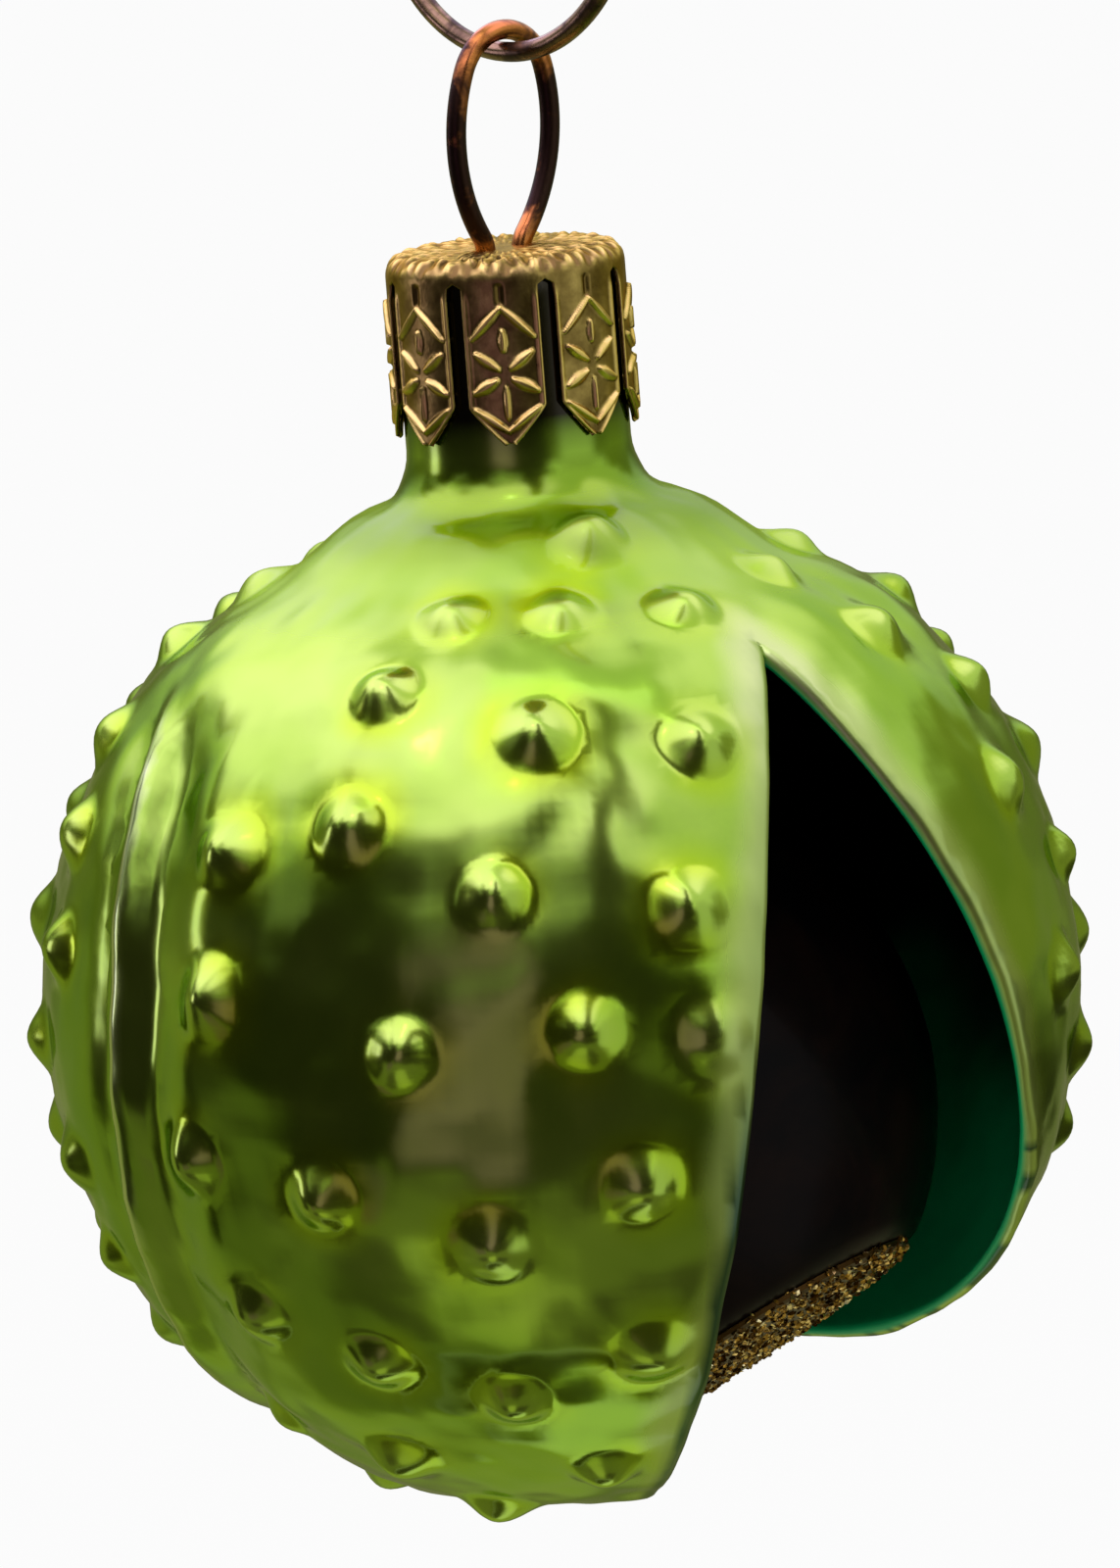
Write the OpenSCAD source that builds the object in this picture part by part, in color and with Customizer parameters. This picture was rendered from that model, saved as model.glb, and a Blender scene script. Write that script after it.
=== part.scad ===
// Horse chestnut ornament: a spiked glass husk split open on a dark seed, with a crown cap, wire loop and ring.
// Lengths are in millimetres. Zero is the inside top of the ring, Z is up and the ring lies in the YZ plane.

/* [Glass husk] */
// Outside radius of the ball without its spikes
husk_radius = 26; // [25:0.5:28]
// Thickness of the blown glass
glass_wall = 1; // [0.8:0.1:1.2]
// Height of a spike above the ball
spike_height = 1; // [0.9:0.1:1.4]
// Radius of the round end of a spike
spike_tip_radius = 1.5; // [1.1:0.1:1.5]
// Radius of the hollow flare that blends a spike into the ball
spike_flare_radius = 2.6; // [2.4:0.1:3]
// Depth of the two seams between valves
seam_depth = 0.4; // [0.2:0.1:0.5]
// Outside radius of the neck
neck_radius = 5.6; // [5.2:0.1:6]
// Length of the neck above the top of the ball
neck_length = 10.8; // [10:0.2:12]
// Radius of the hollow blend between neck and ball
neck_fillet = 4; // [2.5:0.5:4.5]
// Turn of the husk about its neck, degrees
husk_turn = -45; // [-60:1:-30]
// Lean of the glass on its hanger, degrees
hang_lean = 4.4; // [0:0.2:5]

/* [Split in the husk] */
// Distance of the front lip plane from the middle of the ball
front_lip_offset = 6; // [5:0.5:8]
// Distance of the side lip plane from the middle of the ball
side_lip_offset = 5.2; // [3:0.4:7]

/* [Seed] */
// Radius of the round of the seed
seed_radius = 17.4; // [16.4:0.2:17.8]
// Distance from the middle of the seed to its flat base
seed_flat = 13.8; // [13:0.2:14.4]
// Tip of the seed's base away from straight down, degrees
seed_tip = 33; // [25:1:40]
// Thickness of the glitter on the scar
scar_thickness = 0.5; // [0.3:0.1:0.8]
// Gap between the edge of the glitter and the inside of the husk
scar_gap = 0.9; // [0.6:0.1:1.4]

/* [Crown cap] */
// Height of the cap from its top to the petal tips
cap_height = 9; // [8:0.2:9.6]
// Thickness of the stamped sheet
cap_sheet = 0.25; // [0.2:0.05:0.35]
// Number of petals around the cap
petal_count = 8; // [6:1:10]
// Width of the slot between two petals
petal_slot = 0.8; // [0.4:0.1:1]
// Height of the pointed end of a petal
petal_point = 1.8; // [1:0.2:2.4]

/* [Hanger] */
// Thickness of the hanger and ring wire
wire_diameter = 1; // [0.8:0.1:1.1]
// Height of the loop above the cap
loop_height = 10.8; // [10.2:0.2:11.2]
// Radius of the ring at the middle of its wire
ring_radius = 8.5; // [7:0.5:11]
// Opening between the two ends of the ring wire
ring_gap = 0.2; // [0.1:0.1:0.6]

/* [Hidden] */
$fn = 48;

wire_r = wire_diameter / 2;
wire_joint = 0.03;
fit = 0.1;
overlap = 0.02;

// Heights in the shared frame
ring_z = wire_r - ring_radius;
ring_low_z = ring_z - ring_radius;
loop_top_z = ring_low_z + wire_diameter + fit;
cap_top_z = loop_top_z - loop_height;

// Heights from the cap's top, along the neck
rim_gap = 0.4;
rim_z = -cap_sheet - rim_gap;
ball_z = rim_z - neck_length - husk_radius;

bore_radius = neck_radius - 0.85 * glass_wall;
rim_round = 0.3;
inside_radius = husk_radius - glass_wall;

// Where the neck fillet touches the ball
fillet_x = neck_radius + neck_fillet;
fillet_z = sqrt(pow(husk_radius + neck_fillet, 2) - pow(fillet_x, 2));
touch = husk_radius / (husk_radius + neck_fillet);

// Spike flare: touches the ball and the round tip
tip_z = spike_height - spike_tip_radius;
flare_reach = husk_radius + spike_flare_radius - overlap;
flare_to_tip = spike_flare_radius + spike_tip_radius - overlap;
flare_z = (pow(flare_reach, 2) - pow(flare_to_tip, 2) - pow(husk_radius, 2) + pow(tip_z, 2))
    / (2 * (husk_radius + tip_z));
flare_x = sqrt(pow(flare_to_tip, 2) - pow(flare_z - tip_z, 2));

// Spikes on the front valve: latitude, then longitude from the front toward the right
front_spikes = [
    [68, 20], [57, -16], [57, 7], [55, 31], [45, -23], [39, 0], [36, 22],
    [26, -41], [29, -24], [21, -6], [18, 16], [10, -41], [5, -17], [6, 3], [4, 17],
    [-8, -46], [-11, -28], [-17, -9], [-11, 8], [-27, -43], [-33, -27], [-39, -10],
    [-33, 9], [-52, -36], [-55, 2], [-68, -30]
];
// Rows of spikes on the two valves at the back: latitude, first longitude, step, how many
back_rows = [
    [58, 64, 36, 4], [45, 68, 31, 4], [34, 84, 27, 4], [23, 72, 24, 5], [12, 85, 23, 4],
    [1, 74, 23, 5], [-10, 86, 23, 4], [-21, 96, 24, 4], [-32, 108, 27, 3], [-43, 122, 27, 2],
    [58, 196, 34, 3], [47, 212, 27, 3], [35, 200, 25, 4], [24, 195, 22, 5], [12, 206, 20, 5],
    [0, 196, 20, 5], [-12, 207, 20, 5], [-24, 197, 22, 5], [-36, 204, 24, 4], [-48, 205, 30, 4],
    [-66, 215, 60, 2]
];

// Seed: a round with a flat base, and a small round along the edge of the base
seed_edge_r = 3;
seed_edge_z = seed_flat - seed_edge_r;
seed_edge_x = sqrt(pow(seed_radius - seed_edge_r + overlap, 2) - pow(seed_edge_z, 2));
scar_overhang = 0.5;
scar_radius = seed_edge_x + scar_overhang;
stalk_radius = 4;
blow_hole_radius = 1.2;

// Direction of a latitude and longitude on the ball
function way(latitude, longitude) =
    [cos(latitude) * sin(longitude), -cos(latitude) * cos(longitude), sin(latitude)];

// Middle of the seed: shifted sideways, then let down until the glitter's edge keeps its gap
seed_heading = 58;
seed_shift_in = 3;
seed_shift_side = 0.8;
seed_shift = norm([seed_shift_in, seed_shift_side]);
seed_drop = sqrt(pow(inside_radius - scar_gap, 2) - pow(scar_radius + seed_shift, 2))
    - seed_flat - scar_thickness;
seed_place = seed_drop * way(seed_tip - 90, seed_heading)
    + seed_shift_in * way(seed_tip - 180, seed_heading)
    + seed_shift_side * way(0, seed_heading + 90);

// Cap radii
cap_inside = neck_radius + fit;
cap_outside = cap_inside + cap_sheet;
cap_corner = 1;
petal_top = 1.1;
petal_flat = 0.55;
petal_reach = cap_outside * sin(180 / petal_count) - petal_flat;
cap_turn = -3;

// Hanger path: arch, side arc, foot arc, straight leg
arch_r = 2.9;
arch_z = loop_height - arch_r;
join_angle = 20;
side_r = 8.8;
side_x = (arch_r - side_r) * cos(join_angle);
side_z = arch_z + (arch_r - side_r) * sin(join_angle);
foot_top = 0.65;
side_angle = asin((side_z - foot_top) / side_r);
foot_r = 1.6;
foot_x = side_x + (side_r + foot_r) * cos(side_angle);
foot_z = side_z - (side_r + foot_r) * sin(side_angle);
splay = 18;
leg_x = foot_x - foot_r * cos(splay);
leg_z = foot_z - foot_r * sin(splay);
leg_room = 0.75;
leg_tip_x = bore_radius - wire_r - leg_room;
leg_length = (leg_tip_x - leg_x) / sin(splay);
hole_x = foot_x - foot_r;
hole_fit = 0.15;
hole_radius = wire_r + hole_fit;

// Half of the plane, to the right of a turning axis
module right_half() {
    translate([0, -200]) square([200, 400]);
}

// Put a part, drawn upright with the cap's top at zero, where it hangs
module hung() {
    translate([0, 0, cap_top_z])
        rotate([0, 0, husk_turn])
            rotate([0, -hang_lean, 0])
                children();
}

// Move to the middle of the ball
module at_ball() {
    translate([0, 0, ball_z]) children();
}

// Turn the Z axis to a latitude and longitude on the ball
module toward(latitude, longitude) {
    rotate([0, 0, longitude - 90])
        rotate([0, 90 - latitude, 0])
            children();
}

// Outline of ball and neck, turned into the glass skin
module skin_outside() {
    neck_up = rim_z - ball_z;
    intersection() {
        right_half();
        difference() {
            union() {
                circle(r = husk_radius);
                polygon([
                    [0, touch * fillet_z - 1], [touch * fillet_x, touch * fillet_z],
                    [fillet_x, fillet_z], [neck_radius, fillet_z],
                    [neck_radius, neck_up - rim_round], [neck_radius - rim_round, neck_up - rim_round],
                    [neck_radius - rim_round, neck_up], [0, neck_up]
                ]);
                translate([neck_radius - rim_round, neck_up - rim_round]) circle(r = rim_round);
            }
            translate([fillet_x, fillet_z]) circle(r = neck_fillet + overlap);
        }
    }
}

module skin_inside() {
    intersection() {
        right_half();
        union() {
            circle(r = inside_radius);
            square([bore_radius, rim_z - ball_z + 1]);
        }
    }
}

module spike() {
    root = 0.75 * glass_wall;
    translate([0, 0, husk_radius])
        rotate_extrude()
            intersection() {
                translate([0, -root]) square([flare_x, root + 2 * spike_height]);
                union() {
                    difference() {
                        polygon([[0, -root], [flare_x, -root], [flare_x, flare_z], [0, tip_z]]);
                        translate([flare_x, flare_z]) circle(r = spike_flare_radius);
                    }
                    translate([0, tip_z]) circle(r = spike_tip_radius);
                }
            }
}

module spikes() {
    for (place = front_spikes)
        toward(place[0], place[1]) spike();
    for (row = back_rows)
        for (i = [0 : row[3] - 1])
            toward(row[0], row[1] + i * row[2]) spike();
}

// Wedge between the two lip planes, taken out of the husk
module split() {
    reach = 120;
    intersection() {
        toward(-10, 98)
            translate([-reach / 2, -reach / 2, front_lip_offset]) cube(reach);
        toward(23, 136)
            translate([-reach / 2, -reach / 2, side_lip_offset - reach]) cube(reach);
    }
}

// Curved groove along a circle around a direction, from one angle of that circle to another
module seam(latitude, longitude, offset_out, start, sweep) {
    groove_r = 0.6;
    circle_r = sqrt(pow(husk_radius, 2) - pow(offset_out, 2));
    rise = groove_r - seam_depth;
    toward(latitude, longitude)
        translate([0, 0, offset_out * (1 + rise / husk_radius)])
            rotate([0, 0, start])
                rotate_extrude(angle = sweep)
                    translate([circle_r * (1 + rise / husk_radius), 0]) circle(r = groove_r);
}

module husk() {
    color([0.45, 0.62, 0.1])
        hung() at_ball() difference() {
            union() {
                rotate_extrude() difference() {
                    skin_outside();
                    skin_inside();
                }
                spikes();
            }
            split();
            seam(2, -116, 0.527 * husk_radius, 44, 94);
            seam(0, 90, 0, 52, 88);
        }
}

// Outline of the seed, smaller by a given wall
module seed_outline(wall) {
    slope = seed_edge_z / seed_edge_x;
    reach = 2 * seed_radius;
    intersection() {
        right_half();
        union() {
            intersection() {
                circle(r = seed_radius - wall);
                polygon([
                    [0, -reach], [reach, -reach], [reach, reach * slope + overlap], [0, overlap]
                ]);
            }
            polygon([
                [0, seed_flat - wall], [seed_edge_x, seed_flat - wall], [seed_edge_x, seed_edge_z], [0, 0]
            ]);
            translate([seed_edge_x, seed_edge_z]) circle(r = seed_edge_r - wall);
        }
    }
}

// Point the seed's base down and to the split
module at_seed() {
    translate(seed_place)
        toward(seed_tip - 90, seed_heading)
            children();
}

module conker() {
    color([0.1, 0.05, 0.04])
        hung() at_ball() difference() {
            union() {
                at_seed() rotate_extrude() seed_outline(0);
                intersection() {
                    translate(seed_place) rotate([-90, 0, 0]) cylinder(r = stalk_radius, h = 2 * husk_radius);
                    sphere(r = inside_radius - overlap);
                }
            }
            at_seed() rotate_extrude() seed_outline(glass_wall);
            at_seed() translate([0, 0, -2 * seed_radius]) cylinder(r = blow_hole_radius, h = 1.5 * seed_radius);
        }
}

module conker_scar() {
    color([0.62, 0.45, 0.16])
        hung() at_ball() at_seed()
            translate([0, 0, seed_flat]) cylinder(r = scar_radius, h = scar_thickness);
}

// Section of the cap, an upright wall under a flat top with a round corner
module cap_section(radius, top, corner) {
    foot = -cap_height - 1;
    translate([0, foot]) square([radius - corner, top - foot]);
    translate([0, foot]) square([radius, top - corner - foot]);
    translate([radius - corner, top - corner]) circle(r = corner);
}

module cap_shell() {
    rotate_extrude() intersection() {
        right_half();
        translate([0, -cap_height]) square([50, cap_height]);
        difference() {
            cap_section(cap_outside, 0, cap_corner);
            cap_section(cap_inside, -cap_sheet, cap_corner - cap_sheet);
        }
    }
}

// Slot between two petals, opening into the notch that points them and runs on below the cap
module petal_cut() {
    half = petal_slot / 2;
    shoulder = -cap_height + petal_point;
    below = 1;
    spread = half + (petal_reach - half) * (petal_point + below) / petal_point;
    rotate([90, 0, 0])
        linear_extrude(height = 20)
            polygon([
                [-half, -petal_top], [half, -petal_top], [half, shoulder],
                [spread, -cap_height - below], [-spread, -cap_height - below], [-half, shoulder]
            ]);
}

module crown_cap() {
    color([0.83, 0.7, 0.4])
        hung() difference() {
            cap_shell();
            for (i = [0 : petal_count - 1])
                rotate([0, 0, cap_turn + (i + 0.5) * 360 / petal_count]) petal_cut();
            for (side = [-1, 1])
                rotate([0, 0, -husk_turn])
                    translate([side * hole_x, 0, -5]) cylinder(r = hole_radius, h = 10);
        }
}

// Bent piece of wire in the XZ plane, from one angle to another, stopping just short of both ends
module wire_arc(x, z, radius, start, sweep) {
    short = wire_joint / radius * 180 / PI;
    translate([x, 0, z])
        rotate([90, 0, 0])
            rotate([0, 0, start + short])
                rotate_extrude(angle = sweep - 2 * short)
                    translate([radius, 0]) circle(r = wire_r);
}

// Round joint between two pieces of wire
module wire_bead(x, z) {
    translate([x, 0, z]) sphere(r = wire_r + wire_joint);
}

// One side of the hanger, from under the arch to the tip of its leg
module wire_side() {
    wire_bead(arch_r * cos(join_angle), arch_z + arch_r * sin(join_angle));
    wire_arc(side_x, side_z, side_r, -side_angle, side_angle + join_angle);
    wire_bead(side_x + side_r * cos(side_angle), foot_top);
    wire_arc(foot_x, foot_z, foot_r, 180 - side_angle, side_angle + splay);
    wire_bead(leg_x, leg_z);
    translate([leg_x, 0, leg_z])
        rotate([0, 180 - splay, 0]) {
            translate([0, 0, wire_joint]) cylinder(r = wire_r, h = leg_length - wire_joint);
            translate([0, 0, leg_length]) sphere(r = wire_r);
        }
}

module hanger_wire() {
    color([0.62, 0.36, 0.2])
        translate([0, 0, cap_top_z]) {
            wire_arc(0, arch_z, arch_r, join_angle, 180 - 2 * join_angle);
            wire_side();
            mirror([1, 0, 0]) wire_side();
        }
}

module hanging_ring() {
    gap_angle = ring_gap / ring_radius * 180 / PI;
    color([0.62, 0.36, 0.2])
        translate([0, 0, ring_z])
            rotate([0, 90, 0])
                rotate([0, 0, 130 + gap_angle / 2])
                    rotate_extrude(angle = 360 - gap_angle)
                        translate([ring_radius, 0]) circle(r = wire_r);
}

husk();
conker();
conker_scar();
crown_cap();
hanger_wire();
hanging_ring();
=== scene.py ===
"""Looks of a horse chestnut ornament: lacquered glass, glitter, a stamped cap and tarnished wire.

Shapes are drawn in millimetres on the upright ornament, then put where it hangs, in metres.
"""
import math

import bmesh
import bpy
import numpy as np
from mathutils import Matrix, Vector
from mathutils.kdtree import KDTree


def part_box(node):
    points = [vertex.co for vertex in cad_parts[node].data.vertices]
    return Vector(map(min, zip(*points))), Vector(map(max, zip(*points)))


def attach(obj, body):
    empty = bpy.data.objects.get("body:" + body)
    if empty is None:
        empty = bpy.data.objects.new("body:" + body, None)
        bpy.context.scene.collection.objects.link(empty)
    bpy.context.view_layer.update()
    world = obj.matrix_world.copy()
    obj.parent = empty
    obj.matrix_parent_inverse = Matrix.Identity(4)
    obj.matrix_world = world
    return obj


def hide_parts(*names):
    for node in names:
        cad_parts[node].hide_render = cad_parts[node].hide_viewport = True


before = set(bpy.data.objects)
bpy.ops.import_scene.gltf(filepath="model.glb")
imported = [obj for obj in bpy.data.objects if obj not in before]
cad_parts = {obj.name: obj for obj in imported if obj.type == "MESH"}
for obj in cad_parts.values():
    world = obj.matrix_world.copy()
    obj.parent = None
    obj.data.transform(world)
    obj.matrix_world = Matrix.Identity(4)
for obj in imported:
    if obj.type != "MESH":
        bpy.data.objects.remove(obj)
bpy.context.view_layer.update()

MM = 0.001

# Glass husk, millimetres and degrees
BALL_R = 26.0
WALL = 1.0
SPIKE_HEIGHT = 0.97
SPIKE_SPREAD = 2.35
SPIKE_GATHER = 0.35
GLASS_WAVER = 1.1
NECK_R = 5.6
NECK_LENGTH = 10.8
NECK_FILLET = 3.0
NECK_BORE = 4.75
RIM_UNDER_CAP = 0.4
SHOULDER_DIP = 0.8
HUSK_TURN = -45.0
HANG_LEAN = 4.4

# Split in the husk: direction and distance of the two lip planes
FRONT_LIP = (-10, 98, 6.0)
SIDE_LIP = (23, 136, 5.2)
LIP_ROUND = 0.4

# Seam between the front valve and the left one
SEAM = (2, -116, 13.7)

# Seed
SEED_R = 17.4
SEED_FLAT = 13.8
SEED_EDGE_R = 3.0
SEED_TIP = 33.0
SEED_HEADING = 58.0
SEED_SHIFT = (3.0, 0.8)
STALK_R = 4.0
STALK_FLARE = 2.0
STALK_ROOT = SEED_R - 2.0
STALK_ROUND = 0.4
SCAR_THICKNESS = 0.5
SCAR_OVERHANG = 0.5
SCAR_GAP = 0.9

# Crown cap
CAP_HEIGHT = 9.0
CAP_SHEET = 0.25
CAP_CLEARANCE = 0.1
CAP_R = NECK_R + CAP_CLEARANCE + CAP_SHEET
CAP_CORNER = 1.0
CAP_TURN = -3.0
PETALS = 8
PETAL_SLOT = 0.8
PETAL_TOP = 1.1
PETAL_POINT = 1.8

# Hanger and ring wire
WIRE_R = 0.5
LOOP_HEIGHT = 10.8
ARCH_R = 2.9
ARCH_JOIN = 20.0
SIDE_R = 8.8
FOOT_TOP = 0.65
FOOT_R = 1.6
LEG_SPLAY = 18.0
LEG_REACH = 3.5
RING_R = 8.5
RING_GAP = 0.2
RING_GAP_PLACE = 130.0

# Spikes on the front valve: latitude, then longitude from the front toward the right
FRONT_SPIKES = [
    (68, 20), (57, -16), (57, 7), (55, 31), (45, -23), (39, 0), (36, 22),
    (26, -41), (29, -24), (21, -6), (18, 16), (10, -41), (5, -17), (6, 3), (4, 17),
    (-8, -46), (-11, -28), (-17, -9), (-11, 8), (-27, -43), (-33, -27), (-39, -10),
    (-33, 9), (-52, -36), (-55, 2), (-68, -30),
]
# Rows of spikes on the two valves at the back: latitude, first longitude, step, how many
BACK_ROWS = [
    (58, 64, 36, 4), (45, 68, 31, 4), (34, 84, 27, 4), (23, 72, 24, 5), (12, 85, 23, 4),
    (1, 74, 23, 5), (-10, 86, 23, 4), (-21, 96, 24, 4), (-32, 108, 27, 3), (-43, 122, 27, 2),
    (58, 196, 34, 3), (47, 212, 27, 3), (35, 200, 25, 4), (24, 195, 22, 5), (12, 206, 20, 5),
    (0, 196, 20, 5), (-12, 207, 20, 5), (-24, 197, 22, 5), (-36, 204, 24, 4), (-48, 205, 30, 4),
    (-66, 215, 60, 2),
]

# Places worked out from the frame and the sizes
LOOP_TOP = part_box("hanger_wire")[1].z / MM - WIRE_R
CAP_TOP = LOOP_TOP - LOOP_HEIGHT
RIM_Z = -CAP_SHEET - RIM_UNDER_CAP
BALL_Z = RIM_Z - NECK_LENGTH - BALL_R
SEED_EDGE_Z = SEED_FLAT - SEED_EDGE_R
SEED_EDGE_X = math.sqrt((SEED_R - SEED_EDGE_R) ** 2 - SEED_EDGE_Z ** 2)
SCAR_R = SEED_EDGE_X + SCAR_OVERHANG
SCAR_REACH = SCAR_R + math.hypot(*SEED_SHIFT)
SEED_DROP = math.sqrt((BALL_R - WALL - SCAR_GAP) ** 2 - SCAR_REACH ** 2) - SEED_FLAT - SCAR_THICKNESS


def turned(axis, degrees):
    """Turn about one of the main axes."""
    return Matrix.Rotation(math.radians(degrees), 4, axis)


def heading(latitude, longitude):
    """Direction on the ball, with longitude counted from the front toward the right."""
    lat = math.radians(latitude)
    lon = math.radians(longitude)
    return Vector((math.cos(lat) * math.sin(lon), -math.cos(lat) * math.cos(lon), math.sin(lat)))


def toward(latitude, longitude):
    """Turn of the Z axis to a direction on the ball."""
    return turned("Z", longitude - 90) @ turned("Y", 90 - latitude)


HANGER = Matrix.Scale(MM, 4) @ Matrix.Translation((0, 0, CAP_TOP))
HUNG = HANGER @ turned("Z", HUSK_TURN) @ turned("Y", -HANG_LEAN)
BALL = HUNG @ Matrix.Translation((0, 0, BALL_Z))
SEED_PLACE = toward(SEED_TIP - 90, SEED_HEADING) @ Vector((*SEED_SHIFT, SEED_DROP))
SEED = BALL @ Matrix.Translation(SEED_PLACE) @ toward(SEED_TIP - 90, SEED_HEADING)
BALL_MIDDLE = BALL @ Vector((0, 0, 0))


class Socket:
    """One output of a node. Arithmetic on it adds Math nodes to its tree."""

    def __init__(self, graph, output):
        self.graph = graph
        self.output = output

    def other(self, name):
        """Another output of the same node."""
        return Socket(self.graph, self.output.node.outputs[name])

    def math(self, operation, first, second=0.0):
        return self.graph.add("ShaderNodeMath", {"operation": operation}, {0: first, 1: second})

    def __add__(self, value):
        return self.math("ADD", self, value)

    def __radd__(self, value):
        return self.math("ADD", value, self)

    def __sub__(self, value):
        return self.math("SUBTRACT", self, value)

    def __rsub__(self, value):
        return self.math("SUBTRACT", value, self)

    def __mul__(self, value):
        return self.math("MULTIPLY", self, value)

    def __rmul__(self, value):
        return self.math("MULTIPLY", value, self)

    def __truediv__(self, value):
        return self.math("DIVIDE", self, value)

    def __rtruediv__(self, value):
        return self.math("DIVIDE", value, self)

    def __pow__(self, value):
        return self.math("POWER", self, value)

    def lower_of(self, value):
        return self.math("MINIMUM", self, value)

    def higher_of(self, value):
        return self.math("MAXIMUM", self, value)


class Graph:
    """A node tree that is filled by formulas."""

    def __init__(self, tree):
        self.tree = tree

    def add(self, kind, settings=None, values=None, out=0):
        """One node: its type, its settings, then the values or links of its sockets."""
        node = self.tree.nodes.new(kind)
        for name, value in (settings or {}).items():
            if name == "stops":
                set_stops(node.color_ramp, value)
            else:
                setattr(node, name, value)
        for key, value in (values or {}).items():
            if isinstance(value, Socket):
                self.tree.links.new(value.output, node.inputs[key])
            else:
                node.inputs[key].default_value = value
        if len(node.outputs) == 0:
            return None
        return Socket(self, node.outputs[out])

    def vector(self, operation, first, second=(0, 0, 0), out=0):
        return self.add("ShaderNodeVectorMath", {"operation": operation}, {0: first, 1: second}, out)

    def stretched(self, direction, length):
        """A direction times a length."""
        values = {"Vector": direction, "Scale": length}
        return self.add("ShaderNodeVectorMath", {"operation": "SCALE"}, values)

    def fade(self, value, start, end):
        """Smooth step from 0 at start to 1 at end."""
        values = {"Value": value, "From Min": start, "From Max": end}
        return self.add("ShaderNodeMapRange", {"interpolation_type": "SMOOTHSTEP"}, values)

    def blend(self, share, first, second):
        """Mix of two colours."""
        return self.add("ShaderNodeMix", {"data_type": "RGBA"}, {0: share, 6: first, 7: second}, 2)

    def noise(self, place, scale, detail=3.0, roughness=0.5, distortion=0.0):
        values = {"Vector": place, "Scale": scale, "Detail": detail}
        values.update({"Roughness": roughness, "Distortion": distortion})
        return self.add("ShaderNodeTexNoise", None, values)

    def attribute(self, name):
        return self.add("ShaderNodeAttribute", {"attribute_name": name}, None, "Fac")

    def bump(self, height, strength, distance):
        values = {"Height": height, "Strength": strength, "Distance": distance}
        return self.add("ShaderNodeBump", None, values)

    def surface(self, values):
        """Principled shader on the material's output."""
        shader = self.add("ShaderNodeBsdfPrincipled", None, values)
        self.add("ShaderNodeOutputMaterial", None, {"Surface": shader})


def set_stops(ramp, stops):
    """Colours of a ramp, each with its place."""
    while len(ramp.elements) > 1:
        ramp.elements.remove(ramp.elements[-1])
    ramp.elements[0].position, ramp.elements[0].color = stops[0]
    for position, colour in stops[1:]:
        ramp.elements.new(position).color = colour


def paint(red, green, blue):
    """Colour given as it shows on a screen, 0 to 255, made linear."""
    shown = [part / 255 for part in (red, green, blue)]
    return (*[s / 12.92 if s <= 0.04045 else ((s + 0.055) / 1.055) ** 2.4 for s in shown], 1.0)


def new_material(name):
    """Empty material and the graph that fills it."""
    material = bpy.data.materials.new(name)
    material.use_nodes = True
    material.node_tree.nodes.clear()
    return material, Graph(material.node_tree)


def new_tree(name, inputs):
    """Geometry node tree with named inputs. Returns its graph and the inputs as sockets."""
    tree = bpy.data.node_groups.new(name, "GeometryNodeTree")
    tree.interface.new_socket("Geometry", in_out="INPUT", socket_type="NodeSocketGeometry")
    for label, kind in inputs.items():
        tree.interface.new_socket(label, in_out="INPUT", socket_type="NodeSocket" + kind)
    tree.interface.new_socket("Geometry", in_out="OUTPUT", socket_type="NodeSocketGeometry")
    graph = Graph(tree)
    first = graph.add("NodeGroupInput")
    return graph, {label: first.other(label) for label in ["Geometry", *inputs]}


def close_tree(graph, geometry, material):
    """Last nodes of a tree: realised instances with their material."""
    whole = graph.add("GeometryNodeRealizeInstances", None, {"Geometry": geometry})
    dressed = graph.add("GeometryNodeSetMaterial", None, {"Geometry": whole, "Material": material})
    graph.add("NodeGroupOutput", None, {"Geometry": dressed})
    return graph.tree


def grown(mesh, tree, settings):
    """Plain mesh that a node tree makes from a mesh."""
    thing = bpy.data.objects.new("blank", mesh)
    bpy.context.scene.collection.objects.link(thing)
    modifier = thing.modifiers.new("shape", "NODES")
    modifier.node_group = tree
    for item in tree.interface.items_tree:
        if item.in_out == "INPUT" and item.name in settings:
            modifier[item.identifier] = settings[item.name]
    bpy.context.view_layer.update()
    shaped = thing.evaluated_get(bpy.context.evaluated_depsgraph_get())
    result = bpy.data.meshes.new_from_object(shaped)
    thing.modifiers.remove(modifier)
    bpy.data.objects.remove(thing)
    return result


def mesh_of(name, points, faces=()):
    """Mesh from points and faces."""
    mesh = bpy.data.meshes.new(name)
    mesh.from_pydata([tuple(p) for p in points], [], faces)
    mesh.update()
    return mesh


def points_of(mesh):
    """Points of a mesh, one row each."""
    points = np.zeros(len(mesh.vertices) * 3)
    mesh.vertices.foreach_get("co", points)
    return points.reshape(-1, 3)


def mark(mesh, name, values):
    """Store one number per point on a mesh."""
    layer = mesh.attributes.new(name, "FLOAT", "POINT")
    layer.data.foreach_set("value", np.asarray(values, dtype=np.float32))


def marks_of(mesh, name):
    """Numbers stored on the points of a mesh."""
    values = np.zeros(len(mesh.vertices))
    mesh.attributes[name].data.foreach_get("value", values)
    return values


def smooth(mesh):
    """Shade a mesh without facets."""
    mesh.polygons.foreach_set("use_smooth", [True] * len(mesh.polygons))
    mesh.update()


def piece(name, mesh, place, material, body, node):
    """Finished piece: put where it hangs, dressed, riding on its body in place of its solid."""
    mesh.transform(place)
    mesh.name = name
    mesh.materials.clear()
    mesh.materials.append(material)
    thing = bpy.data.objects.new(name, mesh)
    bpy.context.scene.collection.objects.link(thing)
    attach(thing, body)
    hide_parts(node)


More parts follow.
